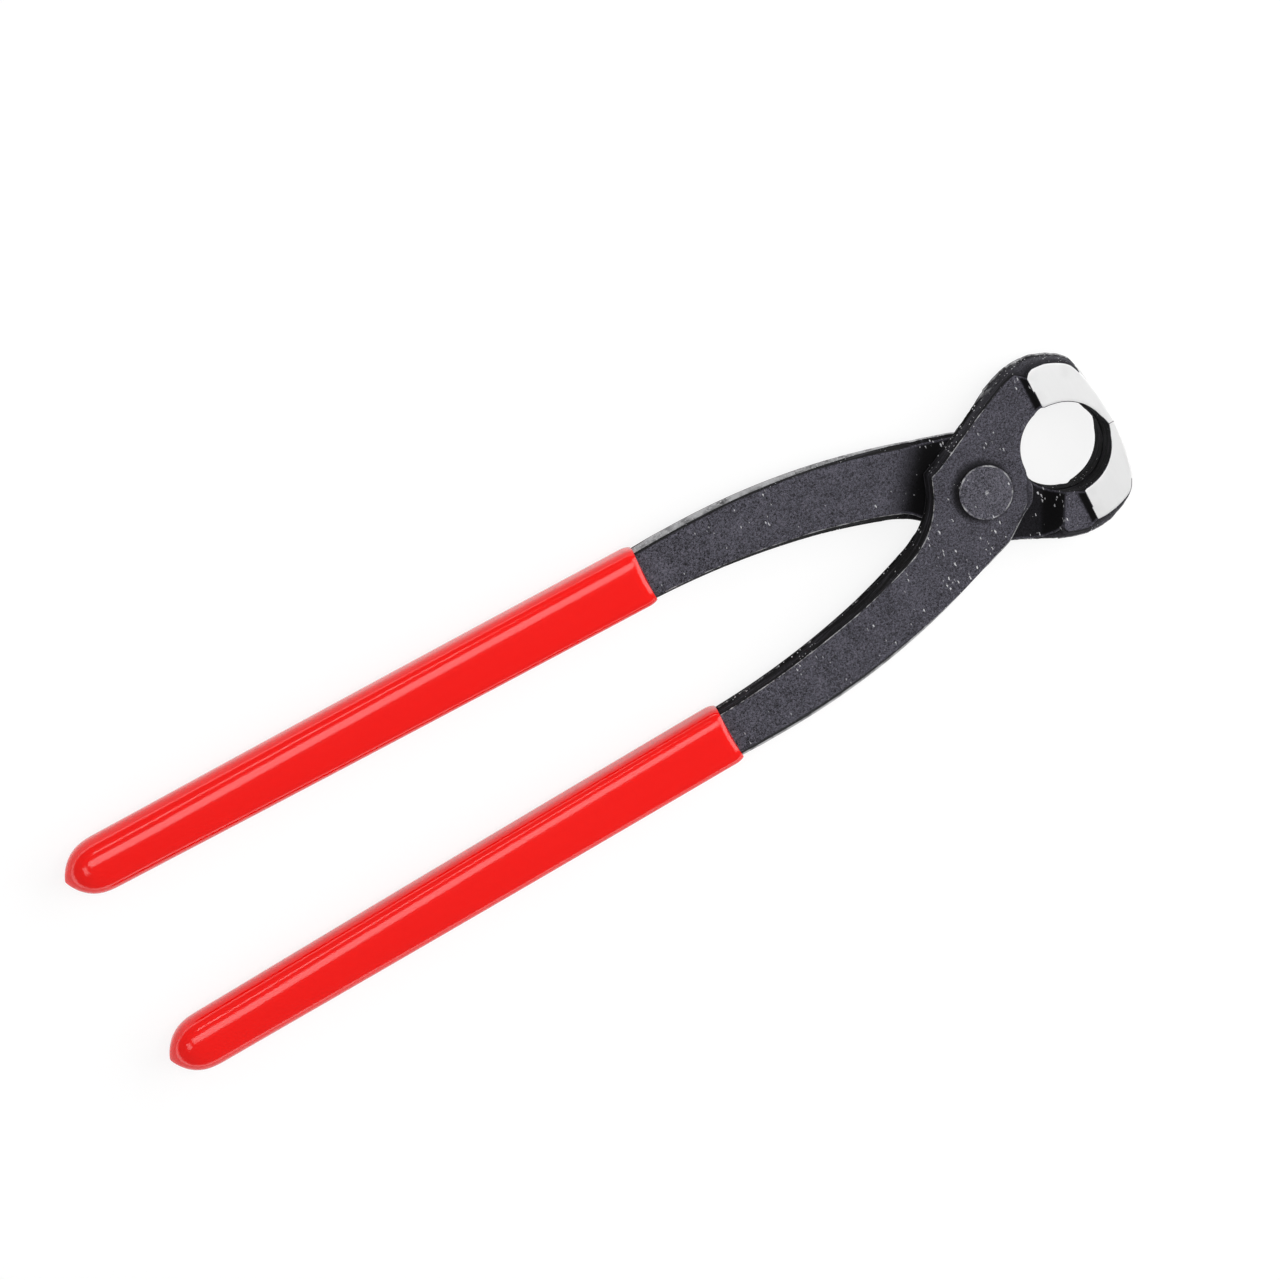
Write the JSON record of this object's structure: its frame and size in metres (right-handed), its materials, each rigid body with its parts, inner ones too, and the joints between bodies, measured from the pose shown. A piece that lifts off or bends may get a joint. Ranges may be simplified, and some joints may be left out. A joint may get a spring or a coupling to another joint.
{
  "type": "ear clamp pliers",
  "caption": "End-nipping pincers for ear clamps: crossed forged levers on a rivet, round open jaws with ground noses, and handles dipped in vinyl.",
  "frame": {"origin": "on the rivet's axis, on the flat outer face of its lower head", "axes": "+X from the rivet towards the jaws, +Y towards the front lever's jaw, +Z along the rivet, up when the tool lies flat"},
  "size_m": [0.22, 0.051, 0.0126],
  "materials": {
    "lever_steel": "forged steel with a satin black phosphate finish, ground bright on the jaw noses",
    "rivet_steel": "steel rivet with the same satin black phosphate finish",
    "grip_vinyl": "glossy red dipped vinyl"
  },
  "bodies": {
    "rear_half": {"rear_lever": "lever_steel", "rear_grip": "grip_vinyl", "pivot_rivet": "rivet_steel"},
    "front_half": {"front_lever": "lever_steel", "front_grip": "grip_vinyl"}
  },
  "joints": [
    {"name": "pivot_hinge", "type": "hinge", "parent": "rear_half", "child": "front_half", "pos_m": [0, 0, 0.0063], "axis": [0, 0, 1], "range_deg": [0, 38]}
  ]
}
